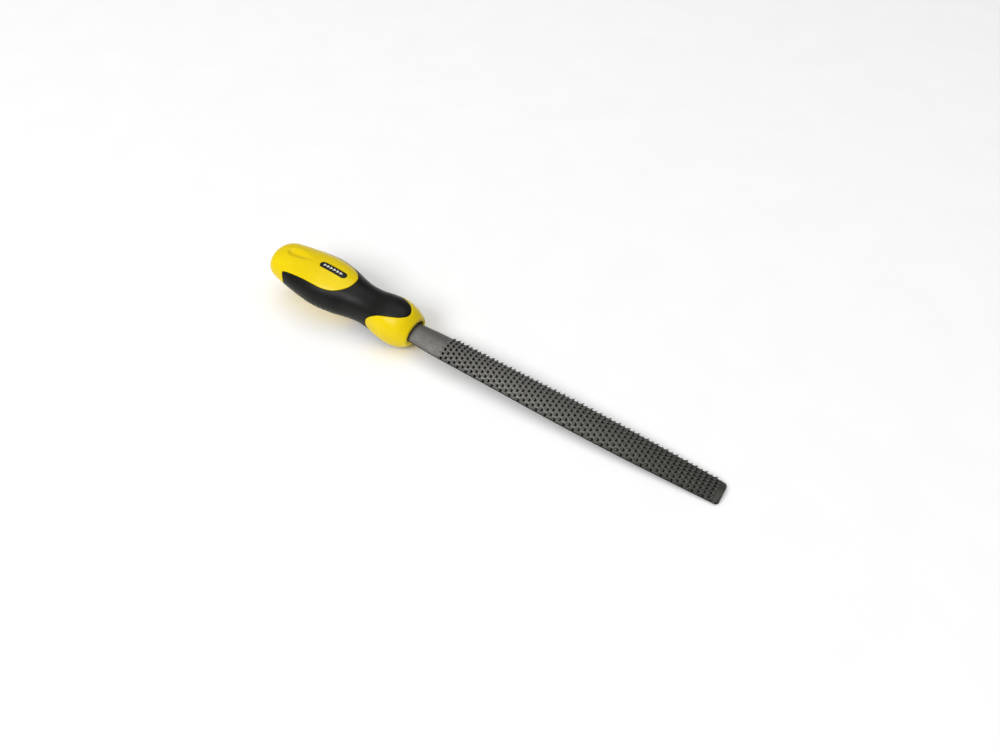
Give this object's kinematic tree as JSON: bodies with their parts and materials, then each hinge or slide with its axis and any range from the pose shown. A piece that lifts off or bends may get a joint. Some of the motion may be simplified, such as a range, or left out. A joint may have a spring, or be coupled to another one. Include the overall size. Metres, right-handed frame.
{
  "type": "wood rasp",
  "caption": "Half-round wood rasp: a flat-backed steel blade with rows of raised triangular teeth on both faces, in an oval two-material moulded handle.",
  "frame": {"origin": "middle of the tool's bounding box", "axes": "+X along the blade from the butt to the tip, +Z out of the blade's round face, so the blade's flat back looks along -Z; +Y completes the right-handed set"},
  "size_m": [0.314, 0.0372, 0.0326],
  "materials": {
    "steel": "hardened, dull grey, slightly glossy tooth edges",
    "yellow_plastic": "semi-gloss moulded polypropylene",
    "black_soft": "satin soft-touch over-moulding",
    "label_black": "gloss black label plate"
  },
  "bodies": {
    "root": {"rasp_blade": "steel", "handle_core": "yellow_plastic", "soft_grip": "black_soft", "badge": "label_black"}
  },
  "joints": []
}
